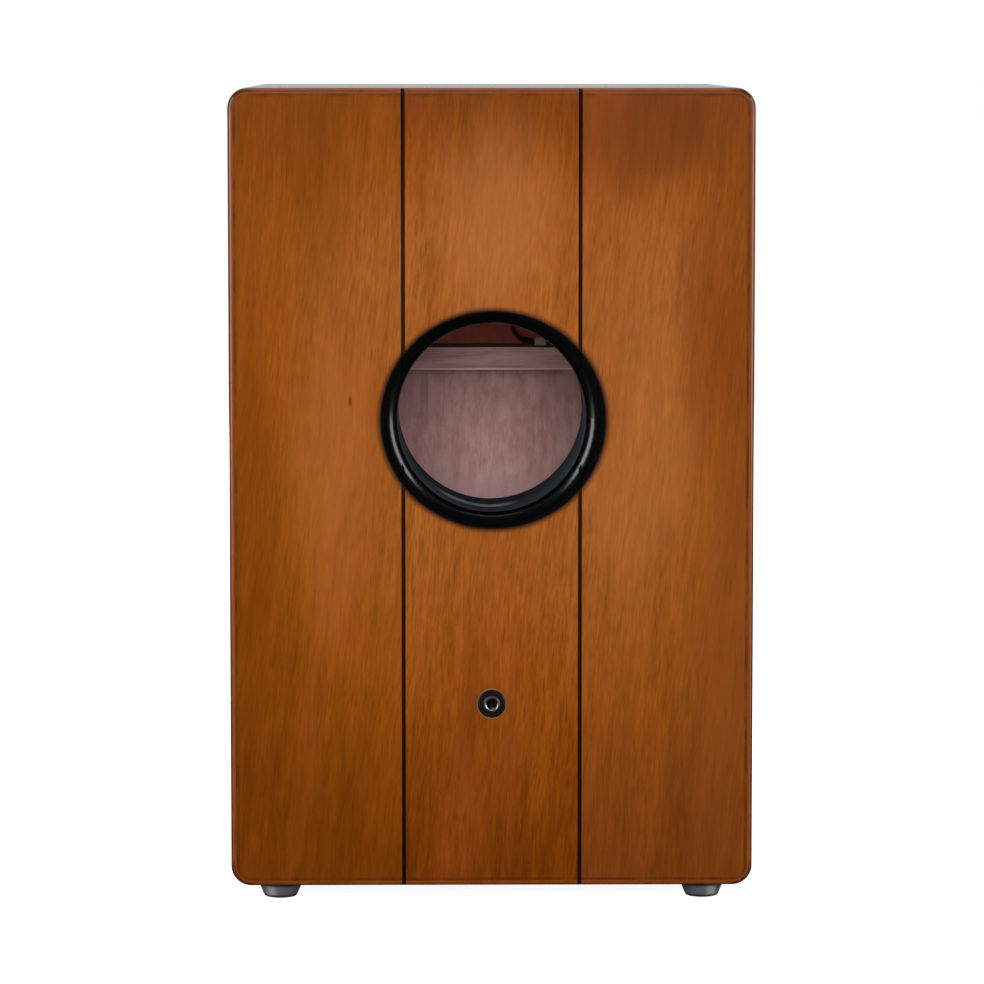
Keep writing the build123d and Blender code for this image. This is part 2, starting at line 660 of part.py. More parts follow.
parts["jack_nut"] = jack_turning(
    [
        (JACK_BARREL_R + CLEARANCE, nut_front_y),
        (JACK_NUT_R - 0.8, nut_front_y),
        (JACK_NUT_R, nut_front_y + 0.8),
        (JACK_NUT_R, REAR_FACE + JACK_SEAT_DEPTH),
        (JACK_BARREL_R + CLEARANCE, REAR_FACE + JACK_SEAT_DEPTH),
    ]
)
parts["jack_barrel"] = jack_turning(
    [
        (JACK_BORE_R, nut_front_y + 0.6),
        (JACK_BORE_R + 0.6, nut_front_y),
        (JACK_BARREL_R - 0.4, nut_front_y),
        (JACK_BARREL_R, nut_front_y + 0.4),
        (JACK_BARREL_R, frame_inner_y),
        (JACK_STAKE_R, frame_inner_y),
        (JACK_STAKE_R, barrel_end_y),
        (JACK_BORE_R, barrel_end_y),
    ]
)
parts["jack_lock_washer"] = jack_turning(
    [
        (JACK_BARREL_R + CLEARANCE, recess_floor_y),
        (LOCK_WASHER_R, recess_floor_y),
        (LOCK_WASHER_R, frame_rear_y),
        (JACK_BARREL_R + CLEARANCE, frame_rear_y),
    ]
)

stack_start_y = frame_inner_y + JACK_STAKE + 0.5
stack_end_y = stack_start_y + INSULATOR_LENGTH
rivet_y = (stack_start_y + stack_end_y) / 2
with BuildPart() as jack_frame:
    with BuildSketch(facing_rear(frame_inner_y)):
        with Locations((0, JACK_Z)):
            Rectangle(FRAME_SIDE, FRAME_SIDE)
            Circle(JACK_BARREL_R + CLEARANCE, mode=Mode.SUBTRACT)
    extrude(amount=FRAME_SHEET)
    with BuildSketch(Plane.XY.offset(leg_bottom_z)):
        with Locations((0, (frame_inner_y + leg_end_y) / 2)):
            Rectangle(FRAME_LEG_WIDTH, FRAME_LEG_LENGTH)
    extrude(amount=FRAME_SHEET)
    with BuildSketch(facing_rear(leg_end_y)):
        with Locations((0, leg_top_z - LUG_LENGTH / 2)):
            Rectangle(LUG_WIDTH, LUG_LENGTH)
    extrude(amount=FRAME_SHEET)
    with BuildSketch(Plane.XY.offset(leg_bottom_z)):
        with Locations((0, rivet_y)):
            Circle(RIVET_R + CLEARANCE)
    extrude(amount=FRAME_SHEET, mode=Mode.SUBTRACT)
parts["jack_frame"] = jack_frame

lower_insulator_z = leg_top_z
leaf_bottom_z = lower_insulator_z + INSULATOR
leaf_top_z = leaf_bottom_z + LEAF
with BuildPart() as jack_insulators:
    for z in (lower_insulator_z, leaf_top_z):
        with BuildSketch(Plane.XY.offset(z)):
            with Locations((0, rivet_y)):
                Rectangle(INSULATOR_WIDTH, INSULATOR_LENGTH)
                Circle(RIVET_R + CLEARANCE, mode=Mode.SUBTRACT)
        extrude(amount=INSULATOR)
parts["jack_insulators"] = jack_insulators

lug_reach = INSULATOR_WIDTH / 2 + LUG_LENGTH
with BuildPart() as jack_tip_lug:
    with BuildSketch(Plane.XY.offset(leaf_bottom_z)):
        with Locations((0, rivet_y)):
            Rectangle(LEAF_WIDTH, INSULATOR_LENGTH)
        with Locations((lug_reach / 2, rivet_y)):
            Rectangle(lug_reach, LUG_WIDTH)
        with Locations((0, rivet_y)):
            Circle(RIVET_R + 2 * CLEARANCE, mode=Mode.SUBTRACT)
    extrude(amount=LEAF)
parts["jack_tip_lug"] = jack_tip_lug

root_y = stack_end_y + LEAF_GAP
bend_tip_y = root_y + LEAF_RUN
beak_y = bend_tip_y + LEAF_BEAK
bend_z = JACK_Z - LEAF_BEND_DROP
beak_z = JACK_Z - LEAF_BEAK_DROP
with BuildPart() as jack_tip_spring:
    with BuildSketch(Plane(origin=(-LEAF_WIDTH / 2, 0, 0), x_dir=(0, 1, 0), z_dir=(1, 0, 0))):
        Polygon(
            (root_y, leaf_bottom_z),
            (bend_tip_y, bend_z - LEAF),
            (beak_y, beak_z - LEAF),
            (beak_y, beak_z),
            (bend_tip_y, bend_z),
            (root_y, leaf_top_z),
            align=None,
        )
    extrude(amount=LEAF_WIDTH)
parts["jack_tip_spring"] = jack_tip_spring

rivet_top_z = leaf_top_z + INSULATOR
with BuildPart() as jack_rivet:
    with BuildSketch(Plane(origin=(0, rivet_y, 0), x_dir=(1, 0, 0), z_dir=(0, -1, 0))):
        Polygon(
            (0, leg_bottom_z - RIVET_HEAD),
            (RIVET_HEAD_R, leg_bottom_z - RIVET_HEAD),
            (RIVET_HEAD_R, leg_bottom_z),
            (RIVET_R, leg_bottom_z),
            (RIVET_R, rivet_top_z),
            (RIVET_HEAD_R, rivet_top_z),
            (RIVET_HEAD_R, rivet_top_z + RIVET_HEAD),
            (0, rivet_top_z + RIVET_HEAD),
            align=None,
        )
    revolve(axis=Axis((0, rivet_y, 0), (0, 0, 1)))
parts["jack_rivet"] = jack_rivet

# ---- Pickup lead ----
lead_radii = bend_radii(lead_route)
print("lead bend radii", [round(r, 1) for r in lead_radii])
with BuildPart() as pickup_lead:
    with BuildLine() as lead_path:
        FilletPolyline(*lead_route, radius=lead_radii)
    with BuildSketch(Plane(origin=lead_path.line @ 0, z_dir=lead_path.line % 0)):
        Circle(LEAD_R)
    sweep(path=lead_path.line)
parts["pickup_lead"] = pickup_lead

# ---- Clips: saddles across the lead, each held by a nail ----
all_clip_planes = [plane for planes in clip_planes.values() for plane in planes]
with BuildPart() as lead_clips:
    for plane in all_clip_planes:
        with Locations(plane):
            with Locations((0, nail_offset / 2, 0)):
                Box(CLIP_LENGTH, CLIP_WIDTH, CLIP_HEIGHT, align=(Align.CENTER, Align.CENTER, Align.MIN))
            Box(
                CLIP_LENGTH,
                2 * (LEAD_R + CLEARANCE),
                LEAD_STANDOFF + 2 * LEAD_R + CLEARANCE,
                align=(Align.CENTER, Align.CENTER, Align.MIN),
                mode=Mode.SUBTRACT,
            )
            with Locations((0, nail_offset, 0)):
                Cylinder(
                    CLIP_NAIL_R + CLEARANCE / 2,
                    CLIP_HEIGHT,
                    align=(Align.CENTER, Align.CENTER, Align.MIN),
                    mode=Mode.SUBTRACT,
                )
parts["lead_clips"] = lead_clips

nail = wood_screw(CLIP_NAIL_R, CLIP_NAIL_LENGTH, CLIP_NAIL_HEAD_R, 0.8)
with BuildPart() as clip_nails:
    for plane in all_clip_planes:
        with Locations(plane):
            with Locations((0, nail_offset, CLIP_HEIGHT)):
                add(nail)
parts["clip_nails"] = clip_nails

# ---- Export, one file for each piece ----
os.makedirs("parts", exist_ok=True)
for name, piece in parts.items():
    piece.part.label = name
    export_step(piece.part, "parts/" + name + ".step")
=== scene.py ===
"""A cajon on a plain pale floor, seen from the rear: lacquered box, black port, jack, feet and snare."""

from math import cos, pi, radians, sin
from types import SimpleNamespace

import bmesh
import bpy
from mathutils import Matrix, Vector


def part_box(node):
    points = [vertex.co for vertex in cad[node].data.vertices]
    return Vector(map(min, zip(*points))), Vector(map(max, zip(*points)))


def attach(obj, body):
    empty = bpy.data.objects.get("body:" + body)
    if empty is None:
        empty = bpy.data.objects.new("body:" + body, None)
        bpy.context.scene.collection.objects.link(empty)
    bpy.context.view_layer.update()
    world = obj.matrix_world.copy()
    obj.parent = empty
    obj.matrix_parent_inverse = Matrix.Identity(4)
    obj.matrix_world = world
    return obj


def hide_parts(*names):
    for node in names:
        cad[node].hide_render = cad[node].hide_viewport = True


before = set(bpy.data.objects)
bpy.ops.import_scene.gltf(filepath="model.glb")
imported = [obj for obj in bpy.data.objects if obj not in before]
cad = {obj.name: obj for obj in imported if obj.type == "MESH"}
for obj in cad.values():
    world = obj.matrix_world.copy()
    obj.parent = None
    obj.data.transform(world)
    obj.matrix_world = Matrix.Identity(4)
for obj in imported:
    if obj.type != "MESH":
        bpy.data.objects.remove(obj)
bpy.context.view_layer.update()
scene = bpy.context.scene
scene.view_settings.view_transform = "Standard"

# ---- Camera: a long lens behind the box, a little left of its middle and just above its top ----
lens = bpy.data.cameras.new("camera")
lens.lens = 164.66
lens.sensor_width = 36
lens.clip_end = 50
camera = bpy.data.objects.new("camera", lens)
camera.location = (-0.0297, -2.709, 0.4893)
camera.rotation_euler = (radians(90 - 5.599), 0, radians(-0.668))
scene.collection.objects.link(camera)
scene.camera = camera

# ---- Sizes read from the frame, in metres ----
rear_low, rear_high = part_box("rear_panel")
tube_low, tube_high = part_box("port_tube")
nut_low, nut_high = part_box("jack_nut")
tapa_low, tapa_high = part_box("tapa")
HALF_WIDTH = rear_high[0]
BOX_BOTTOM = rear_low[2]
BOX_TOP = rear_high[2]
REAR_FACE = rear_low[1]
REAR_INSIDE = rear_high[1]
FRONT_FACE = tapa_high[1]
TAPA_INSIDE = tapa_low[1]
PORT_Z = (tube_low[2] + tube_high[2]) / 2
JACK_Z = (nut_low[2] + nut_high[2]) / 2
NUT_R = (nut_high[0] - nut_low[0]) / 2
BAR_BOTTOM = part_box("snare_bar")[0][2]
BAR_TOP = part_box("snare_bar")[1][2]

# ---- Sizes that the frame doesn't give, in metres ----
GROOVE_X = 0.0505
WALL = 0.012
CORNER_R = 0.0115
JACK_RECESS_R = 0.0132
JACK_RECESS_DEPTH = 0.0085  # from the rear face to just short of the recess's floor
FOOT_X = 0.1225
LIP_HALF_WIDTH = 0.0672  # of the lip's black paint
LIP_HALF_HEIGHT = 0.0650
MASK_SLACK = 0.0004  # by which a mask passes the face that it ends at


# ---- Helpers for shader nodes ----
def stain(red, green, blue):
    """A linear colour from display values of 0 to 255."""
    shares = [value / 255 for value in (red, green, blue)]
    return [s / 12.92 if s <= 0.04045 else ((s + 0.055) / 1.055) ** 2.4 for s in shares] + [1.0]


def add_node(tree, kind, inputs=None, **settings):
    """A shader node with its settings, and its inputs given as values or as sockets to link from."""
    node = tree.nodes.new(kind)
    for name, value in settings.items():
        setattr(node, name, value)
    for name, value in (inputs or {}).items():
        if isinstance(value, bpy.types.NodeSocket):
            tree.links.new(value, node.inputs[name])
        else:
            node.inputs[name].default_value = value
    return node


def compute(tree, operation, first, second=0.0, clamp=False):
    inputs = {0: first, 1: second}
    return add_node(tree, "ShaderNodeMath", inputs, operation=operation, use_clamp=clamp).outputs[0]


def vector_math(tree, operation, inputs):
    return add_node(tree, "ShaderNodeVectorMath", inputs, operation=operation).outputs[0]


def fade(tree, value, start, end, low=0.0, high=1.0):
    """A smooth step from low at start to high at end."""
    inputs = {"Value": value, "From Min": start, "From Max": end, "To Min": low, "To Max": high}
    return add_node(tree, "ShaderNodeMapRange", inputs, interpolation_type="SMOOTHSTEP").outputs[0]


def blend_colours(tree, share, first, second, blend_type="MIX"):
    node = add_node(tree, "ShaderNodeMix", data_type="RGBA", blend_type=blend_type)
    for socket, value in ((node.inputs[0], share), (node.inputs[6], first), (node.inputs[7], second)):
        if isinstance(value, bpy.types.NodeSocket):
            tree.links.new(value, socket)
        else:
            socket.default_value = value
    return node.outputs[2]


def object_place(tree, turn=(0, 0, 0), move=(0, 0, 0)):
    """Object coordinates, moved and then turned."""
    place = add_node(tree, "ShaderNodeTexCoord").outputs["Object"]
    moved = add_node(tree, "ShaderNodeMapping", {"Vector": place, "Location": move})
    turned = {"Vector": moved.outputs[0], "Rotation": [radians(angle) for angle in turn]}
    return add_node(tree, "ShaderNodeMapping", turned).outputs[0]


def split(tree, vector):
    """A vector's X, Y and Z outputs."""
    return add_node(tree, "ShaderNodeSeparateXYZ", {0: vector}).outputs


def noise(tree, vector, stretch, detail=3.0, roughness=0.55, output="Fac"):
    scaled = vector_math(tree, "MULTIPLY", {0: vector, 1: stretch})
    inputs = {"Vector": scaled, "Scale": 1.0, "Detail": detail, "Roughness": roughness}
    return add_node(tree, "ShaderNodeTexNoise", inputs).outputs[output]


def radius_about(tree, first, second):
    """Distance from the axis where both values are zero."""
    first_square = compute(tree, "MULTIPLY", first, first)
    second_square = compute(tree, "MULTIPLY", second, second)
    return compute(tree, "SQRT", compute(tree, "ADD", first_square, second_square))


def new_group(name, inputs, outputs):
    """An empty node group with its sockets, and its input and output nodes."""
    group = bpy.data.node_groups.new(name, "ShaderNodeTree")
    for socket_name, kind, value in inputs:
        socket = group.interface.new_socket(socket_name, in_out="INPUT", socket_type=kind)
        if value is not None:
            socket.default_value = value
    for socket_name, kind in outputs:
        group.interface.new_socket(socket_name, in_out="OUTPUT", socket_type=kind)
    return group, group.nodes.new("NodeGroupInput").outputs, group.nodes.new("NodeGroupOutput").inputs


def place_group(tree, group, inputs):
    node = tree.nodes.new("ShaderNodeGroup")
    node.node_tree = group
    for name, value in inputs.items():
        if isinstance(value, bpy.types.NodeSocket):
            tree.links.new(value, node.inputs[name])
        else:
            node.inputs[name].default_value = value
    return node.outputs


FLOAT, VECTOR = "NodeSocketFloat", "NodeSocketVector"


# ---- Shared effects ----
def make_wood_grain():
    """Figure, streaks, fibres and pores of a veneer whose grain runs along Z and leans towards +X."""
    group, given, result = new_group(
        "wood grain",
        [("Place", VECTOR, None), ("Wander", FLOAT, 0.02), ("Lean", FLOAT, 0.1)],
        [(name, FLOAT) for name in ("Figure", "Tone", "Streaks", "Fibres", "Pores", "Relief")],
    )
    place = given["Place"]
    for stretch, width in (((5, 5, 2.6), given["Wander"]), ((36, 36, 20), 0.0024)):
        sway = noise(group, given["Place"], stretch, detail=2, output="Color")
        sway = vector_math(group, "SUBTRACT", {0: sway, 1: (0.5, 0.5, 0.5)})
        sway = vector_math(group, "SCALE", {0: sway, "Scale": width})
        place = vector_math(group, "ADD", {0: place, 1: sway})
    x, y, z = split(group, place)
    x = compute(group, "SUBTRACT", x, compute(group, "MULTIPLY", z, given["Lean"]))
    place = add_node(group, "ShaderNodeCombineXYZ", {0: x, 1: y, 2: z}).outputs[0]
    figure = noise(group, place, (15, 15, 2.4), detail=3)
    tone = noise(group, place, (42, 42, 5), detail=4, roughness=0.65)
    streaks = noise(group, place, (150, 150, 13), detail=4, roughness=0.65)
    fibres = noise(group, place, (800, 800, 76), detail=3, roughness=0.7)
    pores = fade(group, noise(group, place, (1100, 1100, 62), detail=1), 0.60, 0.72)
    relief = compute(group, "MULTIPLY", compute(group, "SUBTRACT", fibres, pores), 0.5)
    for name, value in (("Figure", figure), ("Tone", tone), ("Streaks", streaks)):
        group.links.new(value, result[name])
    for name, value in (("Fibres", fibres), ("Pores", pores), ("Relief", relief)):
        group.links.new(value, result[name])
    return group


def make_inside_mask():
    """1 on the faces of the sound chamber, and 0 outside."""
    group, given, result = new_group("chamber mask", [("Place", VECTOR, None)], [("Inside", FLOAT)])
    x, y, z = split(group, given["Place"])
    within_x = compute(group, "ABSOLUTE", x)
    within_x = compute(group, "LESS_THAN", within_x, HALF_WIDTH - WALL + MASK_SLACK)
    above = compute(group, "GREATER_THAN", z, BOX_BOTTOM + WALL - MASK_SLACK)
    below = compute(group, "LESS_THAN", z, BOX_TOP - WALL + MASK_SLACK)
    ahead = compute(group, "GREATER_THAN", y, REAR_INSIDE - MASK_SLACK)
    behind = compute(group, "LESS_THAN", y, TAPA_INSIDE + MASK_SLACK)
    inside = compute(group, "MULTIPLY", compute(group, "MULTIPLY", within_x, above), below)
    inside = compute(group, "MULTIPLY", compute(group, "MULTIPLY", inside, ahead), behind)
    group.links.new(inside, result["Inside"])
    return group


def make_outline_inset():
    """How far a place lies inside the rounded outline of the rear panel and the tapa, in metres.

    Corner is 1 within the turn of a corner, and fades to 0 along the straight edges.
    """
    group, given, result = new_group(
        "outline inset", [("Place", VECTOR, None)], [("Inset", FLOAT), ("Corner", FLOAT)]
    )
    x, _, z = split(group, given["Place"])
    middle_z = (BOX_BOTTOM + BOX_TOP) / 2
    half_height = (BOX_TOP - BOX_BOTTOM) / 2
    from_x = compute(group, "SUBTRACT", compute(group, "ABSOLUTE", x), HALF_WIDTH - CORNER_R)
    from_z = compute(group, "ABSOLUTE", compute(group, "SUBTRACT", z, middle_z))
    from_z = compute(group, "SUBTRACT", from_z, half_height - CORNER_R)
    beyond_x = compute(group, "MAXIMUM", from_x, 0.0)
    beyond_z = compute(group, "MAXIMUM", from_z, 0.0)
    beyond = radius_about(group, beyond_x, beyond_z)
    within = compute(group, "MINIMUM", compute(group, "MAXIMUM", from_x, from_z), 0.0)
    inset = compute(group, "SUBTRACT", CORNER_R, compute(group, "ADD", beyond, within))
    group.links.new(inset, result["Inset"])
    turn = fade(group, compute(group, "MINIMUM", from_x, from_z), -0.006, 0.003)
    group.links.new(turn, result["Corner"])
    return group


def make_handling_marks():
    """Faint smears and dust specks that vary a finish's gloss."""
    group, given, result = new_group(
        "handling marks",
        [("Place", VECTOR, None), ("Gloss", FLOAT, 0.3), ("Spread", FLOAT, 0.1)],
        [("Roughness", FLOAT)],
    )
    smears = noise(group, given["Place"], (22, 22, 22), detail=4, roughness=0.6)
    specks = noise(group, given["Place"], (900, 900, 900), detail=1)
    smears = compute(group, "MULTIPLY", smears, 0.8)
    mixed = compute(group, "ADD", smears, compute(group, "MULTIPLY", specks, 0.2))
    swing = compute(group, "MULTIPLY", compute(group, "SUBTRACT", mixed, 0.5), given["Spread"])
    group.links.new(compute(group, "ADD", given["Gloss"], swing, clamp=True), result["Roughness"])
    return group


wood_grain = make_wood_grain()
chamber_mask = make_inside_mask()
outline_inset = make_outline_inset()
handling_marks = make_handling_marks()


def new_material(name, **plain):
    """A material, its node tree and its Principled shader with plain values set on it."""
    material = bpy.data.materials.new(name)
    material.use_nodes = True
    tree = material.node_tree
    shader = tree.nodes["Principled BSDF"]
    for socket, value in plain.items():
        shader.inputs[socket.replace("_", " ")].default_value = value
    return material, tree, shader


def bump(tree, height, strength, distance):
    inputs = {"Height": height, "Strength": strength, "Distance": distance}
    return add_node(tree, "ShaderNodeBump", inputs).outputs[0]


# ---- Wood ----
GRAIN_UP = (0, 0, 0)
GRAIN_ACROSS = (0, 90, 0)
GRAIN_DEEP = (90, 0, 0)
LIGHT_STAIN = stain(135, 76, 28)
MIDDLE_STAIN = stain(121, 61, 7)
DARK_STAIN = stain(89, 39, 0)
BARE_LIGHT = stain(186, 146, 141)
BARE_DARK = stain(158, 113, 110)


def bare_wood_colour(tree, place, grain, fineness=1.0):
    """Pinkish bare veneer: blotchy, with faint fibres and short dark pores, as strong as the fineness."""
    blotches = noise(tree, place, (130, 130, 60), detail=4, roughness=0.7)
    streaks = compute(tree, "MULTIPLY", grain["Streaks"], 0.3)
    share = compute(tree, "ADD", compute(tree, "MULTIPLY", blotches, 0.7), streaks)
    colour = blend_colours(tree, fade(tree, share, 0.3, 0.7), BARE_DARK, BARE_LIGHT)
    fibres = fade(tree, grain["Fibres"], 0.4, 0.75, 0.0, 0.35 * fineness)
    colour = blend_colours(tree, fibres, colour, BARE_LIGHT)
    pores = compute(tree, "MULTIPLY", grain["Pores"], 0.4 * fineness)
    return blend_colours(tree, pores, colour, stain(112, 76, 74))


def lacquer_colour(tree, grain, middle):
    """Stained veneer, from dark at the box's edges to light in the middle of a face."""
    share = compute(tree, "MULTIPLY", middle, 0.92)
    for name, swing in (("Figure", 0.8), ("Streaks", 0.3)):
        wave = compute(tree, "MULTIPLY", compute(tree, "SUBTRACT", grain[name], 0.5), swing)
        share = compute(tree, "ADD", share, wave)
    ramp = add_node(tree, "ShaderNodeValToRGB", {"Fac": share})
    steps = ramp.color_ramp.elements
    steps[0].position = 0.0
    steps[0].color = DARK_STAIN
    steps[1].position = 1.0
    steps[1].color = LIGHT_STAIN
    steps.new(0.5).color = MIDDLE_STAIN
    shade = 1.0
    for name, swing in (("Fibres", 1.3), ("Streaks", 0.75)):
        wave = compute(tree, "MULTIPLY", compute(tree, "SUBTRACT", grain[name], 0.5), swing)
        shade = compute(tree, "ADD", wave, shade)
    colour = vector_math(tree, "SCALE", {0: ramp.outputs[0], "Scale": shade})
    redder = fade(tree, grain["Tone"], 0.45, 0.70, 0.0, 0.30)
    colour = blend_colours(tree, redder, colour, stain(132, 60, 24))
    return blend_colours(tree, compute(tree, "MULTIPLY", grain["Pores"], 0.3), colour, stain(70, 28, 2))


def middle_of_face(tree, across, upright):
    """How near a place is to the middle of a face: 1 there, and less towards the box's edges."""
    share = None
    for value in across:
        inset = compute(tree, "SUBTRACT", HALF_WIDTH, compute(tree, "ABSOLUTE", value))
        step = fade(tree, inset, 0.0, 0.060, 0.35, 1.0)
        share = step if share is None else compute(tree, "MULTIPLY", share, step)
    for value in upright:
        low = fade(tree, value, BOX_BOTTOM - 0.03, BOX_BOTTOM + 0.27, 0.0, 1.0)
        high = fade(tree, value, BOX_TOP, BOX_TOP - 0.11, 0.25, 1.0)
        share = compute(tree, "MULTIPLY", share, compute(tree, "MULTIPLY", low, high))
    return share


def cloud(tree, place, x, z, wide, tall):
    """A soft patch on the rear face, with an uneven edge."""
    px, _, pz = split(tree, place)
    ragged = compute(tree, "SUBTRACT", noise(tree, place, (30, 30, 12), detail=3), 0.5)
    ragged = compute(tree, "MULTIPLY", ragged, 0.9)
    dx = compute(tree, "DIVIDE", compute(tree, "SUBTRACT", px, x), wide)
    dz = compute(tree, "DIVIDE", compute(tree, "SUBTRACT", pz, z), tall)
    return fade(tree, compute(tree, "ADD", radius_about(tree, dx, dz), ragged), 1.0, 0.2)


def panel_material(name, grain_turn, face, offset=(0, 0, 0), wander=0.02):
    """Lacquered stain outside the box and bare wood on the chamber's side."""
    material, tree, shader = new_material(name, Coat_Roughness=0.2, Specular_IOR_Level=0.06)
    place = object_place(tree)
    x, y, z = split(tree, place)
    grain_place = object_place(tree, turn=grain_turn, move=offset)
    grain = place_group(tree, wood_grain, {"Place": grain_place, "Wander": wander, "Lean": 0.09})
    inside = place_group(tree, chamber_mask, {"Place": place})["Inside"]
    across = [{"x": x, "y": y}[axis] for axis in face if axis != "z"]
    upright = [z] if "z" in face else []
    stained = lacquer_colour(tree, grain, middle_of_face(tree, across, upright))
    marks = place_group(tree, handling_marks, {"Place": place, "Gloss": 0.34, "Spread": 0.12})["Roughness"]
    tree.links.new(bump(tree, grain["Relief"], 0.12, 0.0004), shader.inputs["Normal"])
    return SimpleNamespace(
        material=material, tree=tree, shader=shader, place=place,
        grain=grain, inside=inside, stained=stained, marks=marks,
    )


def finish_panel(panel, stained, coat, bare=None):
    """Links a panel's stained and bare colours, its coat and its roughness to its shader."""
    tree, inputs = panel.tree, panel.shader.inputs
    bare = bare or bare_wood_colour(tree, panel.place, panel.grain)
    tree.links.new(blend_colours(tree, panel.inside, stained, bare), inputs["Base Color"])
    outside = compute(tree, "SUBTRACT", 1.0, panel.inside)
    tree.links.new(compute(tree, "MULTIPLY", outside, coat), inputs["Coat Weight"])
    rough = compute(tree, "MAXIMUM", panel.marks, compute(tree, "MULTIPLY", panel.inside, 0.72))
    tree.links.new(rough, inputs["Roughness"])
    return panel.material


def plain_panel(name, grain_turn, face, offset, coat=0.35):
    """A wall, with a dark line of stain at its joints with the rear panel and the tapa."""
    panel = panel_material(name, grain_turn, face, offset)
    tree = panel.tree
    y = split(tree, panel.place)["Y"]
    rear_joint = fade(tree, y, REAR_INSIDE + 0.0012, REAR_INSIDE + 0.0002)
    tapa_joint = fade(tree, y, TAPA_INSIDE - 0.0012, TAPA_INSIDE - 0.0002)
    joint = compute(tree, "MULTIPLY", compute(tree, "MAXIMUM", rear_joint, tapa_joint), 0.6)
    stained = blend_colours(tree, joint, panel.stained, stain(58, 22, 4))
    return finish_panel(panel, stained, coat)


def edge_colours(tree, place, face_y, stained):
    """Painted highlight on the roundover, redder; painted shade where it meets the face and at the outline.

    The painted shade at the outline is wider and darker round the corners.
    """
    edges = place_group(tree, outline_inset, {"Place": place})
    inset = edges["Inset"]
    from_face = compute(tree, "ABSOLUTE", compute(tree, "SUBTRACT", split(tree, place)["Y"], face_y))
    near_face = fade(tree, from_face, 0.0040, 0.0028)
    patchy = noise(tree, place, (60, 60, 60), detail=3)
    # Painted highlight: a lighter, redder band on the roundover.
    painted_highlight = fade(tree, inset, 0.0036, 0.0026)
    painted_highlight = compute(tree, "MULTIPLY", painted_highlight, near_face)
    painted_highlight = compute(tree, "MULTIPLY", painted_highlight, fade(tree, patchy, 0.3, 0.7, 0.3, 0.8))
    stained = blend_colours(tree, painted_highlight, stained, stain(124, 60, 20))
    # Painted shade: a dark, uneven line where the roundover meets the face.
    painted_shade_line = fade(tree, inset, 0.0026, 0.0034)
    painted_shade_line = compute(tree, "MULTIPLY", painted_shade_line, fade(tree, inset, 0.0054, 0.0040))
    painted_shade_line = compute(tree, "MULTIPLY", painted_shade_line, fade(tree, patchy, 0.38, 0.62, 0.25, 0.75))
    stained = blend_colours(tree, painted_shade_line, stained, stain(66, 28, 4))
    # Painted shade: a dark line at the outline, wider and darker round the corners.
    outline = compute(tree, "MULTIPLY", fade(tree, inset, 0.0012, 0.0003, 0.0, 0.8), near_face)
    corner = compute(tree, "MULTIPLY", fade(tree, inset, 0.0030, 0.0012, 0.0, 0.8), edges["Corner"])
    outline = compute(tree, "MAXIMUM", outline, compute(tree, "MULTIPLY", corner, near_face))
    return blend_colours(tree, outline, stained, stain(40, 16, 6)), fade(tree, inset, 0.0060, 0.0030)


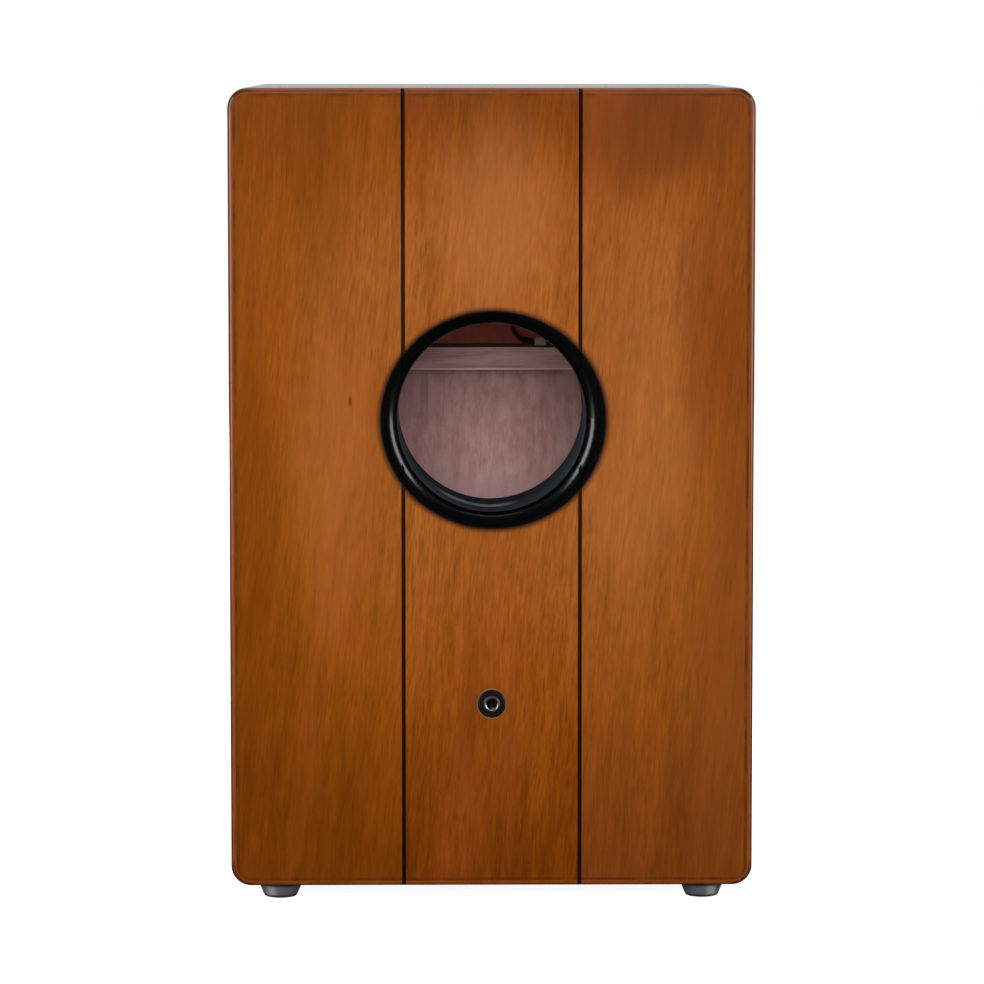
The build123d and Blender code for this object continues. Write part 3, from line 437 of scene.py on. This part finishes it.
def rear_panel_material():
    """The rear panel: three stained planks, black grooves and a black lip round the port."""
    offset = (0.37, 0, 0.11)
    panel = panel_material("rear panel lacquer", GRAIN_UP, "xz", offset, wander=0.024)
    tree, place, stained = panel.tree, panel.place, panel.stained
    x, y, z = split(tree, place)
    from_jack = radius_about(tree, x, compute(tree, "SUBTRACT", z, JACK_Z))
    recess = compute(tree, "LESS_THAN", from_jack, JACK_RECESS_R + 0.0003)
    past_face = compute(tree, "GREATER_THAN", y, REAR_FACE + JACK_RECESS_DEPTH)
    recess = compute(tree, "MULTIPLY", recess, past_face)
    panel.inside = compute(tree, "MAXIMUM", panel.inside, recess)
    right_plank = compute(tree, "MULTIPLY", compute(tree, "GREATER_THAN", x, GROOVE_X), 0.22)
    left_plank = compute(tree, "MULTIPLY", compute(tree, "LESS_THAN", x, -GROOVE_X), 0.25)
    stained = blend_colours(tree, right_plank, stained, stain(116, 64, 26))
    stained = blend_colours(tree, left_plank, stained, stain(110, 58, 2))
    for centre_x, centre_z, wide, tall, tint, share in (
        (0.090, 0.445, 0.066, 0.050, stain(84, 38, 10), 0.60),
        (0.122, 0.335, 0.026, 0.100, stain(98, 46, 16), 0.45),
        (-0.098, 0.400, 0.020, 0.090, stain(92, 44, 0), 0.35),
        (0.004, 0.395, 0.050, 0.080, stain(150, 92, 50), 0.45),
        (-0.010, 0.130, 0.012, 0.090, stain(88, 36, 0), 0.35),
        (-0.135, 0.200, 0.016, 0.160, stain(98, 46, 0), 0.40),
        (0.085, 0.260, 0.040, 0.110, stain(146, 86, 44), 0.35),
        (-0.090, 0.260, 0.034, 0.130, stain(144, 84, 36), 0.35),
        (0.135, 0.150, 0.040, 0.190, stain(122, 70, 26), 0.25),
    ):
        patch = cloud(tree, place, centre_x, centre_z, wide, tall)
        stained = blend_colours(tree, compute(tree, "MULTIPLY", patch, share), stained, tint)
    fleck = compute(tree, "MULTIPLY", cloud(tree, place, -0.0808, 0.2905, 0.0016, 0.0042), 0.7)
    stained = blend_colours(tree, fleck, stained, stain(58, 24, 6))
    # Adds the painted highlight and painted shade along the panel's edges.
    stained, edge = edge_colours(tree, place, REAR_FACE, stained)
    across = compute(tree, "DIVIDE", compute(tree, "SUBTRACT", x, 0.0009), LIP_HALF_WIDTH)
    upright = compute(tree, "SUBTRACT", z, PORT_Z - 0.001)
    upright = compute(tree, "DIVIDE", upright, LIP_HALF_HEIGHT)
    from_port = radius_about(tree, across, upright)
    outside = compute(tree, "SUBTRACT", 1.0, panel.inside)
    lip = compute(tree, "MULTIPLY", fade(tree, from_port, 1.015, 0.945), outside)
    from_groove = compute(tree, "SUBTRACT", compute(tree, "ABSOLUTE", x), GROOVE_X)
    from_groove = compute(tree, "ABSOLUTE", from_groove)
    groove = fade(tree, from_groove, 0.00140, 0.00085)
    for edge_z, side in ((BOX_TOP - 0.0005, "LESS_THAN"), (BOX_BOTTOM + 0.0005, "GREATER_THAN")):
        groove = compute(tree, "MULTIPLY", groove, compute(tree, side, z, edge_z))
    groove = compute(tree, "MULTIPLY", groove, compute(tree, "LESS_THAN", y, REAR_FACE + 0.0016))
    seat_edge = fade(tree, from_jack, NUT_R + 0.0011, NUT_R + 0.0008, 0.0, 0.55)
    stained = blend_colours(tree, seat_edge, stained, stain(140, 112, 70))
    black = compute(tree, "MAXIMUM", lip, compute(tree, "MULTIPLY", groove, 0.9))
    stained = blend_colours(tree, black, stained, stain(1, 1, 2))
    coat = compute(tree, "MAXIMUM", compute(tree, "MULTIPLY", edge, 0.9), lip)
    return finish_panel(panel, stained, compute(tree, "MAXIMUM", coat, 0.06))


def tapa_material():
    """The tapa: lacquered outside; inside, pinkish bare veneer with painted light below the port and
    painted shade, red-brown, above the bar.
    """
    panel = panel_material("tapa veneer", GRAIN_UP, "xz", offset=(1.9, 0, 0.6), wander=0.03)
    tree, place = panel.tree, panel.place
    # Adds the painted highlight and painted shade along the tapa's edges.
    stained, edge = edge_colours(tree, place, FRONT_FACE, panel.stained)
    bare = bare_wood_colour(tree, place, panel.grain, fineness=0.45)
    checks = noise(tree, place, (190, 1, 9), detail=2)
    checks = fade(tree, checks, 0.66, 0.74, 0.0, 0.45)
    bare = blend_colours(tree, checks, bare, stain(110, 72, 70))
    # Painted light: the bare veneer made lighter below the port, where light through the port falls.
    low = fade(tree, split(tree, place)["Z"], PORT_Z - 0.045, PORT_Z - 0.088, 0.0, 0.6)
    bare = blend_colours(tree, low, bare, stain(206, 176, 172))
    # Painted shade: the bare veneer above the bar darkened to red-brown.
    above = fade(tree, split(tree, place)["Z"], BAR_TOP - 0.006, BAR_TOP - 0.002)
    bare = blend_colours(tree, compute(tree, "MULTIPLY", above, 0.85), bare, stain(138, 52, 34))
    coat = compute(tree, "MAXIMUM", compute(tree, "MULTIPLY", edge, 0.6), 0.3)
    return finish_panel(panel, stained, coat, bare)


def bare_material(name, grain_turn, offset, edge_highlight=False):
    """Bare wood strip. An edge highlight is a pale painted highlight along the bar's bottom and top edges.
    """
    material, tree, shader = new_material(name, Roughness=0.74, Specular_IOR_Level=0.3)
    place = object_place(tree)
    grain_place = object_place(tree, grain_turn, offset)
    grain = place_group(tree, wood_grain, {"Place": grain_place, "Wander": 0.012, "Lean": 0.0})
    colour = blend_colours(tree, fade(tree, grain["Streaks"], 0.35, 0.68), BARE_DARK, BARE_LIGHT)
    colour = blend_colours(tree, fade(tree, grain["Fibres"], 0.35, 0.7, 0.0, 0.5), colour, BARE_LIGHT)
    colour = blend_colours(tree, compute(tree, "MULTIPLY", grain["Pores"], 0.5), colour, stain(112, 78, 78))
    if edge_highlight:
        # Painted highlight: pale lines along the bar's bottom and top edges.
        z = split(tree, place)["Z"]
        low = fade(tree, z, BAR_BOTTOM + 0.0010, BAR_BOTTOM + 0.0005)
        top = fade(tree, z, BAR_TOP - 0.0007, BAR_TOP - 0.0003, 0.0, 0.4)
        pale = compute(tree, "MULTIPLY", compute(tree, "MAXIMUM", low, top), 0.85)
        colour = blend_colours(tree, pale, colour, stain(226, 196, 192))
    tree.links.new(colour, shader.inputs["Base Color"])
    tree.links.new(bump(tree, grain["Relief"], 0.25, 0.0004), shader.inputs["Normal"])
    return material


# ---- Other finishes ----
def speckled_material(name, base, shade, gloss, spread, grain_size, relief, **plain):
    """A moulded, plated or drawn surface: a slightly uneven colour and gloss, and a fine relief."""
    material, tree, shader = new_material(name, **plain)
    place = object_place(tree)
    mottle = noise(tree, place, (grain_size, grain_size, grain_size), detail=3)
    tree.links.new(blend_colours(tree, mottle, shade, base), shader.inputs["Base Color"])
    given = {"Place": place, "Gloss": gloss, "Spread": spread}
    marks = place_group(tree, handling_marks, given)["Roughness"]
    tree.links.new(marks, shader.inputs["Roughness"])
    tree.links.new(bump(tree, mottle, relief, 0.0002), shader.inputs["Normal"])
    return material


def tube_material():
    """Satin blue-black tube, with a pale painted highlight arc low on its wall."""
    material, tree, shader = new_material("port black", Roughness=0.55, Specular_IOR_Level=0.02)
    place = object_place(tree)
    x, y, z = split(tree, place)
    mottle = noise(tree, place, (90, 90, 90), detail=3)
    colour = blend_colours(tree, mottle, stain(40, 54, 64), stain(52, 68, 78))
    # Painted highlight: a pale arc low on the tube's wall, bent and made wavy.
    bend = compute(tree, "MULTIPLY", compute(tree, "ADD", x, 0.008), x)
    bend = compute(tree, "MULTIPLY", bend, 6.0)
    wavy = compute(tree, "MULTIPLY", noise(tree, place, (70, 20, 70), detail=2), 0.006)
    along = compute(tree, "ADD", y, compute(tree, "SUBTRACT", wavy, bend))
    painted_highlight_arc = fade(tree, along, -0.1155, -0.1105)
    painted_highlight_arc = compute(tree, "MULTIPLY", painted_highlight_arc, fade(tree, along, -0.0960, -0.1020))
    painted_highlight_arc = compute(tree, "MULTIPLY", painted_highlight_arc, fade(tree, x, -0.034, -0.022))
    painted_highlight_arc = compute(tree, "MULTIPLY", painted_highlight_arc, fade(tree, x, 0.018, 0.004))
    painted_highlight_arc = compute(tree, "MULTIPLY", painted_highlight_arc, compute(tree, "LESS_THAN", z, PORT_Z))
    colour = blend_colours(tree, compute(tree, "MULTIPLY", painted_highlight_arc, 0.9), colour, stain(178, 184, 190))
    tree.links.new(colour, shader.inputs["Base Color"])
    marks = place_group(tree, handling_marks, {"Place": place, "Gloss": 0.55, "Spread": 0.15})["Roughness"]
    tree.links.new(marks, shader.inputs["Roughness"])
    tree.links.new(bump(tree, mottle, 0.03, 0.0002), shader.inputs["Normal"])
    return material


def foot_material():
    """Moulded rubber: painted highlight on its outer side, painted shade under the box, darker round its
    bottom rim.
    """
    material, tree, shader = new_material("foot rubber", Coat_Weight=0.3, Coat_Roughness=0.25)
    place = object_place(tree)
    x, _, z = split(tree, place)
    grit = noise(tree, place, (700, 700, 700), detail=3)
    # The dust mottle, lighter than the rubber's own grey, is partly dust and partly a painted sheen.
    dust = noise(tree, place, (60, 60, 60), detail=3)
    colour = blend_colours(tree, dust, stain(60, 60, 62), stain(112, 112, 114))
    # Painted highlight: a pale vertical streak on each foot's outer side.
    outwards = compute(tree, "SUBTRACT", compute(tree, "ABSOLUTE", x), FOOT_X)
    outer_highlight = fade(tree, outwards, 0.0005, 0.0050)
    outer_highlight = compute(tree, "MULTIPLY", outer_highlight, fade(tree, outwards, 0.0092, 0.0058))
    colour = blend_colours(tree, compute(tree, "MULTIPLY", outer_highlight, 0.75), colour, stain(158, 158, 160))
    colour = blend_colours(tree, compute(tree, "MULTIPLY", grit, 0.3), colour, stain(44, 44, 46))
    # Painted shade: darker at the top of the cone under the box; also darker round the bottom rim.
    shade = compute(tree, "MAXIMUM", fade(tree, z, 0.0062, 0.0078), fade(tree, z, 0.0024, 0.0010))
    colour = blend_colours(tree, compute(tree, "MULTIPLY", shade, 0.85), colour, stain(18, 18, 20))
    tree.links.new(colour, shader.inputs["Base Color"])
    marks = place_group(tree, handling_marks, {"Place": place, "Gloss": 0.36, "Spread": 0.2})["Roughness"]
    tree.links.new(marks, shader.inputs["Roughness"])
    tree.links.new(bump(tree, grit, 0.12, 0.0002), shader.inputs["Normal"])
    return material


GREY = [0.62, 0.62, 0.63, 1]
finishes = {
    "port black": tube_material(),
    "foot rubber": foot_material(),
    "zinc steel": speckled_material(
        "zinc steel", GREY, [0.5, 0.5, 0.5, 1], 0.32, 0.2, 500, 0.05, Metallic=1.0
    ),
    "black screw": speckled_material(
        "black screw", stain(40, 40, 40), stain(26, 26, 26), 0.38, 0.2, 600, 0.05, Metallic=0.7
    ),
    "spring steel": speckled_material(
        "spring steel", [0.7, 0.7, 0.7, 1], [0.56, 0.55, 0.53, 1], 0.24, 0.2, 900, 0.02, Metallic=1.0
    ),
    "nickel": speckled_material(
        "nickel", [0.86, 0.83, 0.80, 1], [0.74, 0.71, 0.68, 1], 0.3, 0.2, 400, 0.02, Metallic=1.0
    ),
    "nut plastic": speckled_material(
        "nut plastic", stain(19, 15, 13), stain(11, 9, 8), 0.42, 0.2, 1200, 0.2, Specular_IOR_Level=0.3
    ),
    "phenolic": speckled_material("phenolic", stain(128, 72, 34), stain(96, 50, 24), 0.5, 0.2, 600, 0.1),
    "brass": speckled_material(
        "brass", [0.80, 0.60, 0.28, 1], [0.66, 0.47, 0.2, 1], 0.24, 0.2, 200, 0.02, Metallic=1.0
    ),
    "ceramic": speckled_material(
        "ceramic", stain(226, 222, 210), stain(206, 202, 192), 0.42, 0.1, 500, 0.05
    ),
    "foam": speckled_material("foam", stain(60, 60, 62), stain(36, 36, 38), 0.9, 0.1, 1600, 0.6),
    "lead jacket": speckled_material(
        "lead jacket", stain(58, 22, 20), stain(40, 14, 14), 0.45, 0.1, 500, 0.05
    ),
    "clip nylon": speckled_material(
        "clip nylon", stain(178, 156, 138), stain(154, 132, 116), 0.45, 0.1, 500, 0.05
    ),
}

node_material = {
    "rear_panel": rear_panel_material(),
    "tapa": tapa_material(),
    "left_panel": plain_panel("left side lacquer", GRAIN_UP, "yz", (0.0, 2.3, 0.2)),
    "right_panel": plain_panel("right side lacquer", GRAIN_UP, "yz", (0.0, 3.7, 0.4)),
    "top_panel": plain_panel("top lacquer", GRAIN_ACROSS, "xy", (0.0, 0.9, 0.0), coat=0.95),
    "bottom_panel": plain_panel("underside lacquer", GRAIN_ACROSS, "xy", (0.0, 1.4, 0.0)),
    "port_tube": finishes["port black"],
    "snare_bar": bare_material("bar wood", GRAIN_ACROSS, (0.0, 0.3, 0.0), edge_highlight=True),
    "jack_nut": finishes["nut plastic"],
    "jack_insulators": finishes["phenolic"],
    "pickup_disc": finishes["brass"],
    "pickup_ceramic": finishes["ceramic"],
    "pickup_pad": finishes["foam"],
    "pickup_lead": finishes["lead jacket"],
    "lead_clips": finishes["clip nylon"],
    "tapa_screws": finishes["black screw"],
}
upright_bare = bare_material("upright strip wood", GRAIN_UP, (0.5, 0, 0))
across_bare = bare_material("cross strip wood", GRAIN_ACROSS, (0.8, 0, 0))
deep_bare = bare_material("corner strip wood", GRAIN_DEEP, (1.1, 0, 0))
for name in ("liner_left", "liner_right", "bar_block_left", "bar_block_right"):
    node_material[name] = upright_bare
for name in ("liner_top", "liner_bottom"):
    node_material[name] = across_bare
for name in cad:
    if name.startswith("glue_strip"):
        node_material[name] = deep_bare
    elif name.startswith("foot_") and name not in ("foot_screws", "foot_washers"):
        node_material[name] = finishes["foot rubber"]
    elif name in ("foot_screws", "foot_washers", "bar_screws", "bracket_screws", "clip_nails"):
        node_material[name] = finishes["zinc steel"]
    elif name.startswith("snare_bracket"):
        node_material[name] = finishes["zinc steel"]
    elif name.startswith("jack_") and name not in node_material:
        node_material[name] = finishes["nickel"]
    elif name.startswith("snare_wires"):
        node_material[name] = finishes["spring steel"]
for name, piece in cad.items():
    piece.data.materials.clear()
    piece.data.materials.append(node_material[name])

# ---- Snare wires: fine coils in place of the straight rods ----
COIL_R = 0.00075
STRAND_R = 0.0002
COIL_PITCH = 0.00105
WIRE_LENGTH = 0.118
STEPS_PER_TURN = 9
WIRE_LEAN = radians(8)
WIRE_R = 0.00095
WIRE_PITCH = 0.0042
WIRES_PER_SIDE = 10
BRACKET_X = 0.080


def one_coil(turns):
    """A coil along Z that starts at the origin."""
    coil = bmesh.new()
    strand = bmesh.ops.create_circle(coil, segments=4, radius=STRAND_R)["verts"]
    upright = Matrix.Rotation(radians(90), 4, "X")
    bmesh.ops.transform(coil, matrix=Matrix.Translation((COIL_R, 0, STRAND_R)) @ upright, verts=strand)
    bmesh.ops.spin(
        coil, geom=coil.verts[:] + coil.edges[:], cent=(0, 0, 0), axis=(0, 0, 1),
        dvec=(0, 0, COIL_PITCH / STEPS_PER_TURN), angle=turns * 2 * pi, steps=turns * STEPS_PER_TURN,
    )
    bmesh.ops.recalc_face_normals(coil, faces=coil.faces)
    for face in coil.faces:
        face.smooth = True
    mesh = bpy.data.meshes.new("one coil")
    coil.to_mesh(mesh)
    coil.free()
    return mesh


wire_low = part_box("snare_wires_right")[0]
base_y = wire_low[1] + WIRE_R * cos(WIRE_LEAN)
base_z = wire_low[2] + WIRE_R * sin(WIRE_LEAN)
middle_wire = (WIRES_PER_SIDE - 1) / 2
coil_mesh = one_coil(turns=int((WIRE_LENGTH - 2 * STRAND_R) / COIL_PITCH))
for side, name in ((-1, "snare_wires_left"), (1, "snare_wires_right")):
    coils = bmesh.new()
    for number in range(WIRES_PER_SIDE):
        splay = radians(1.5 + 0.85 * number)
        forward = cos(splay)
        along = Vector((side * sin(splay), forward * sin(WIRE_LEAN), forward * cos(WIRE_LEAN)))
        base_x = BRACKET_X + (number - middle_wire) * WIRE_PITCH
        turned = along.to_track_quat("Z", "X").to_matrix().to_4x4()
        placed = coil_mesh.copy()
        placed.transform(Matrix.Translation((side * base_x, base_y, base_z)) @ turned)
        coils.from_mesh(placed)
        bpy.data.meshes.remove(placed)
    mesh = bpy.data.meshes.new(name + "_coils")
    coils.to_mesh(mesh)
    coils.free()
    mesh.materials.append(finishes["spring steel"])
    piece = bpy.data.objects.new(name + "_coils", mesh)
    scene.collection.objects.link(piece)
    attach(piece, "box")
    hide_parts(name)
bpy.data.meshes.remove(coil_mesh)

# ---- Floor, world and lights ----
bpy.ops.mesh.primitive_plane_add(size=60)
floor = bpy.context.object
floor.name = "floor"
floor_white, tree, shader = new_material("floor white", Roughness=0.9)
shader.inputs["Specular IOR Level"].default_value = 0.0
shader.inputs["Emission Color"].default_value = (1, 1, 1, 1)
ray = add_node(tree, "ShaderNodeLightPath").outputs
tree.links.new(compute(tree, "MULTIPLY", ray["Is Camera Ray"], 0.9), shader.inputs["Emission Strength"])
floor_tone = blend_colours(tree, ray["Is Glossy Ray"], (0.55, 0.55, 0.55, 1), (0.03, 0.03, 0.03, 1))
tree.links.new(floor_tone, shader.inputs["Base Color"])
floor.data.materials.append(floor_white)

world = bpy.data.worlds.new("studio")
scene.world = world
world.use_nodes = True
sky = world.node_tree
sky.nodes.clear()
direction = add_node(sky, "ShaderNodeTexCoord").outputs["Generated"]
along = split(sky, direction)["Y"]
dim = fade(sky, along, -0.6, 0.9, 0.03, 0.62)
seen = add_node(sky, "ShaderNodeBackground", {"Color": (1, 1, 1, 1), "Strength": 1.0})
lit = add_node(sky, "ShaderNodeBackground", {"Color": (1, 1, 1, 1), "Strength": dim})
camera_ray = add_node(sky, "ShaderNodeLightPath").outputs["Is Camera Ray"]
pick = add_node(sky, "ShaderNodeMixShader", {0: camera_ray})
sky.links.new(lit.outputs[0], pick.inputs[1])
sky.links.new(seen.outputs[0], pick.inputs[2])
sky.links.new(pick.outputs[0], add_node(sky, "ShaderNodeOutputWorld").inputs[0])


def soft_light(name, place, aim, wide, tall, power):
    """A rectangular soft light that faces a point."""
    data = bpy.data.lights.new(name, "AREA")
    data.shape = "RECTANGLE"
    data.size = wide
    data.size_y = tall
    data.energy = power
    light = bpy.data.objects.new(name, data)
    light.location = place
    light.rotation_euler = (Vector(aim) - Vector(place)).to_track_quat("-Z", "Y").to_euler()
    scene.collection.objects.link(light)
    return light


middle = (0, 0, 0.25)
soft_light("left softbox", (-2.2, -1.3, 0.80), middle, 1.2, 1.7, 34)
soft_light("right softbox", (2.4, -1.1, 0.90), middle, 1.2, 1.8, 32)
soft_light("overhead softbox", (0, 0.4, 2.6), middle, 1.6, 1.6, 10)
front = soft_light("front softbox", (-0.03, -3.4, 0.80), (0, 0, 0.28), 1.1, 1.05, 96)
far = soft_light("far softbox", (-0.4, 3.2, 1.0), middle, 1.6, 1.3, 90)
front.visible_glossy = False
far.visible_glossy = False
